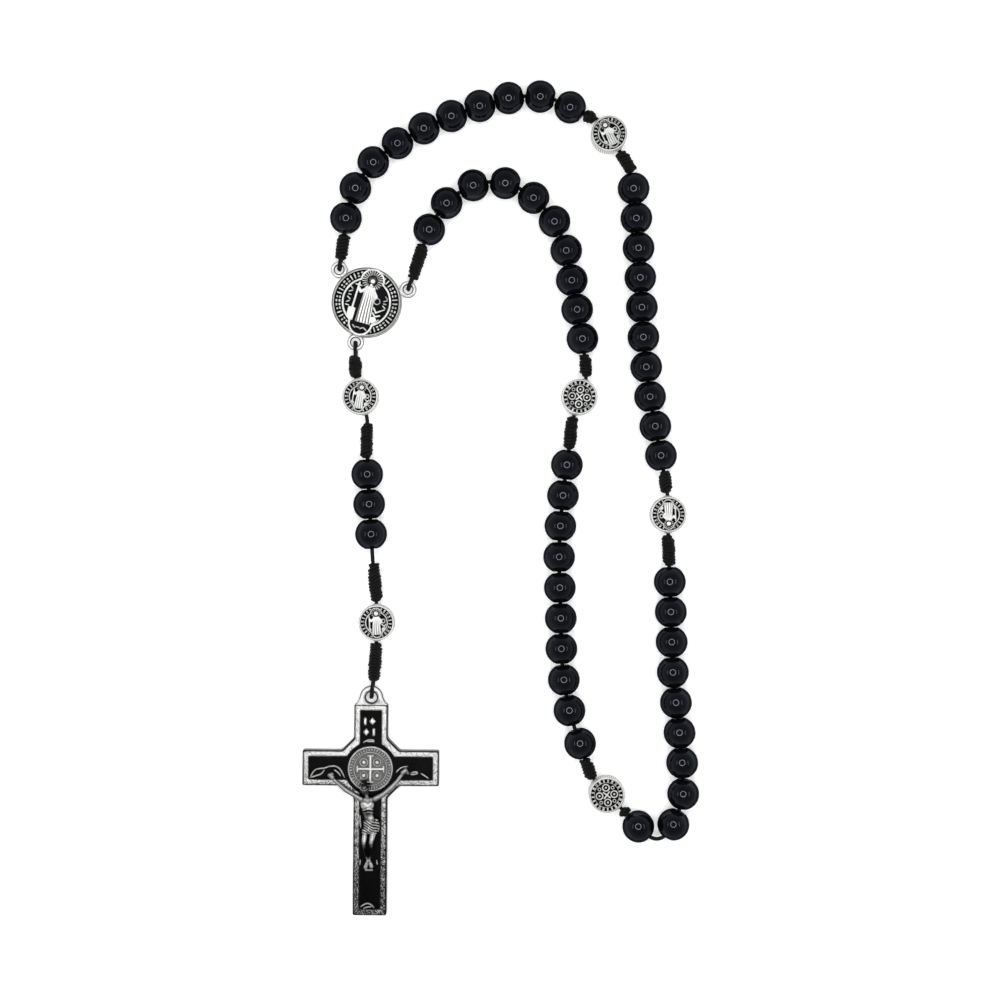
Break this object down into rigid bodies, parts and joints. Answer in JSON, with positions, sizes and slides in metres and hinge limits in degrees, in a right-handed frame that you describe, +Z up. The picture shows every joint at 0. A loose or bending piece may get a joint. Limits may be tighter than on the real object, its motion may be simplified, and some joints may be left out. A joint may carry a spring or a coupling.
{
  "type": "rosary",
  "caption": "Closed strand of round black beads in decades, with cast medal beads, wrapped knots, a centre medal and a drop with a crucifix.",
  "frame": {"origin": "middle of the footprint of the whole rosary as it lies, on the surface under it", "axes": "+Z up from the surface, +Y from the crucifix towards the top of the loop, +X from the drop towards the loop"},
  "size_m": [0.0994, 0.2092, 0.008],
  "materials": {
    "bead": "polished black",
    "medal": "cast, antique silver plated, dark in the recesses",
    "cross_silver": "cast, antique silver plated, grained",
    "enamel": "glossy black enamel",
    "cord": "twisted black nylon"
  },
  "bodies": {
    "centre": {"centre_medal": "medal"},
    "decade_1": {"decade_1_eye_bight": "cord", "decade_1_cord": "cord", "decade_1_start_knot": "cord", "decade_1_end_knot": "cord", "decade_1_beads": "bead"},
    "decade_2": {"decade_2_cord": "cord", "decade_2_start_knot": "cord", "decade_2_end_knot": "cord", "decade_2_beads": "bead"},
    "decade_3": {"decade_3_cord": "cord", "decade_3_start_knot": "cord", "decade_3_end_knot": "cord", "decade_3_beads": "bead"},
    "decade_4": {"decade_4_cord": "cord", "decade_4_start_knot": "cord", "decade_4_end_knot": "cord", "decade_4_beads": "bead"},
    "decade_5": {"decade_5_eye_bight": "cord", "decade_5_cord": "cord", "decade_5_start_knot": "cord", "decade_5_end_knot": "cord", "decade_5_beads": "bead"},
    "medal_bead_1": {"medal_bead_1": "medal"},
    "medal_bead_2": {"medal_bead_2": "medal"},
    "medal_bead_3": {"medal_bead_3": "medal"},
    "medal_bead_4": {"medal_bead_4": "medal"},
    "medal_bead_5": {"medal_bead_5": "medal"},
    "medal_bead_6": {"medal_bead_6": "medal"},
    "drop_upper": {"drop_eye_bight": "cord", "drop_upper_cord": "cord", "drop_upper_knot": "cord"},
    "drop_middle": {"drop_middle_cord": "cord", "drop_middle_knot": "cord"},
    "drop_bead_1": {"drop_bead_1": "bead"},
    "drop_bead_2": {"drop_bead_2": "bead"},
    "drop_bead_3": {"drop_bead_3": "bead"},
    "drop_lower": {"drop_lower_cord": "cord", "drop_lower_knot": "cord", "crucifix_knot": "cord", "crucifix_eye_bight": "cord"},
    "crucifix": {"cross_body": "cross_silver", "cross_enamel": "enamel", "cross_medallion": "cross_silver", "corpus": "cross_silver", "title_marks": "cross_silver"}
  },
  "joints": [
    {"name": "loop_spread", "type": "hinge", "parent": "centre", "child": "decade_1", "pos_m": [-0.0404, 0.0574, 0.00185], "axis": [0, 0, -1], "range_deg": [-5, 8]},
    {"name": "loop_bend_1", "type": "hinge", "parent": "decade_1", "child": "decade_2", "pos_m": [0.02434, 0.09485, 0.004], "axis": [0, 0, -1], "range_deg": [-11, 6.9]},
    {"name": "loop_bend_2", "type": "hinge", "parent": "decade_2", "child": "decade_3", "pos_m": [0.04187, 0.0009, 0.004], "axis": [0, 0, -1], "range_deg": [-6.3, 10]},
    {"name": "loop_swing_right", "type": "hinge", "parent": "centre", "child": "decade_5", "pos_m": [-0.0231, 0.0524, 0.00185], "axis": [0, 0, -1], "range_deg": [-5.8, 9.2]},
    {"name": "loop_bend_4", "type": "hinge", "parent": "decade_5", "child": "decade_4", "pos_m": [0.02156, 0.02988, 0.004], "axis": [0, 0, -1], "range_deg": [-11.2, 7]},
    {"name": "drop_swing", "type": "hinge", "parent": "centre", "child": "drop_upper", "pos_m": [-0.0363, 0.03915, 0.00185], "axis": [0, 0, -1], "range_deg": [-12, 90]},
    {"name": "drop_middle_bend", "type": "hinge", "parent": "drop_upper", "child": "drop_middle", "pos_m": [-0.03315, 0.0196, 0.004], "axis": [0, 0, 1], "range_deg": [-60, 14]},
    {"name": "drop_lower_bend", "type": "hinge", "parent": "drop_middle", "child": "drop_lower", "pos_m": [-0.0318, -0.0158, 0.004], "axis": [0, 0, -1], "range_deg": [-20, 45]},
    {"name": "crucifix_swing", "type": "hinge", "parent": "drop_lower", "child": "crucifix", "pos_m": [-0.0323, -0.05005, 0.00185], "axis": [0, 0, -1], "range_deg": [-40, 60]},
    {"name": "drop_beads_slide", "type": "slide", "parent": "drop_middle", "child": "drop_bead_1", "axis": [0.0641, -0.9979, 0], "range_m": [0, 0.0025]},
    {"name": "drop_bead_2_follow", "type": "slide", "parent": "drop_middle", "child": "drop_bead_2", "axis": [0.0641, -0.9979, 0], "range_m": [0, 0.0025]},
    {"name": "drop_bead_3_follow", "type": "slide", "parent": "drop_middle", "child": "drop_bead_3", "axis": [0.0641, -0.9979, 0], "range_m": [0, 0.0025]},
    {"name": "medal_bead_1_spin", "type": "hinge", "parent": "decade_2", "child": "medal_bead_1", "pos_m": [0.0272, 0.09075, 0.004], "axis": [0.5718, -0.8204, 0], "continuous": true},
    {"name": "medal_bead_2_spin", "type": "hinge", "parent": "decade_3", "child": "medal_bead_2", "pos_m": [0.04195, -0.0041, 0.004], "axis": [0.0152, -0.9999, 0], "continuous": true},
    {"name": "medal_bead_3_spin", "type": "hinge", "parent": "decade_4", "child": "medal_bead_3", "pos_m": [0.0266, -0.07395, 0.004], "axis": [-0.715, 0.6991, 0], "continuous": true},
    {"name": "medal_bead_4_spin", "type": "hinge", "parent": "decade_4", "child": "medal_bead_4", "pos_m": [0.0198, 0.0252, 0.004], "axis": [-0.3511, -0.9363, 0], "continuous": true},
    {"name": "medal_bead_5_spin", "type": "hinge", "parent": "drop_upper", "child": "medal_bead_5", "pos_m": [-0.0348, 0.02525, 0.004], "axis": [0.2906, -0.9569, 0], "continuous": true},
    {"name": "medal_bead_6_spin", "type": "hinge", "parent": "drop_lower", "child": "medal_bead_6", "pos_m": [-0.03075, -0.03105, 0.004], "axis": [0, -1, 0], "continuous": true}
  ],
  "couplings": [
    {"joint": "loop_bend_1", "follows": "loop_spread", "ratio": -1.3504},
    {"joint": "loop_bend_2", "follows": "loop_spread", "ratio": 1.2331},
    {"joint": "loop_swing_right", "follows": "loop_spread", "ratio": 1.1291},
    {"joint": "loop_bend_4", "follows": "loop_spread", "ratio": -1.377},
    {"joint": "drop_bead_2_follow", "follows": "drop_beads_slide", "ratio": 1},
    {"joint": "drop_bead_3_follow", "follows": "drop_beads_slide", "ratio": 1}
  ]
}
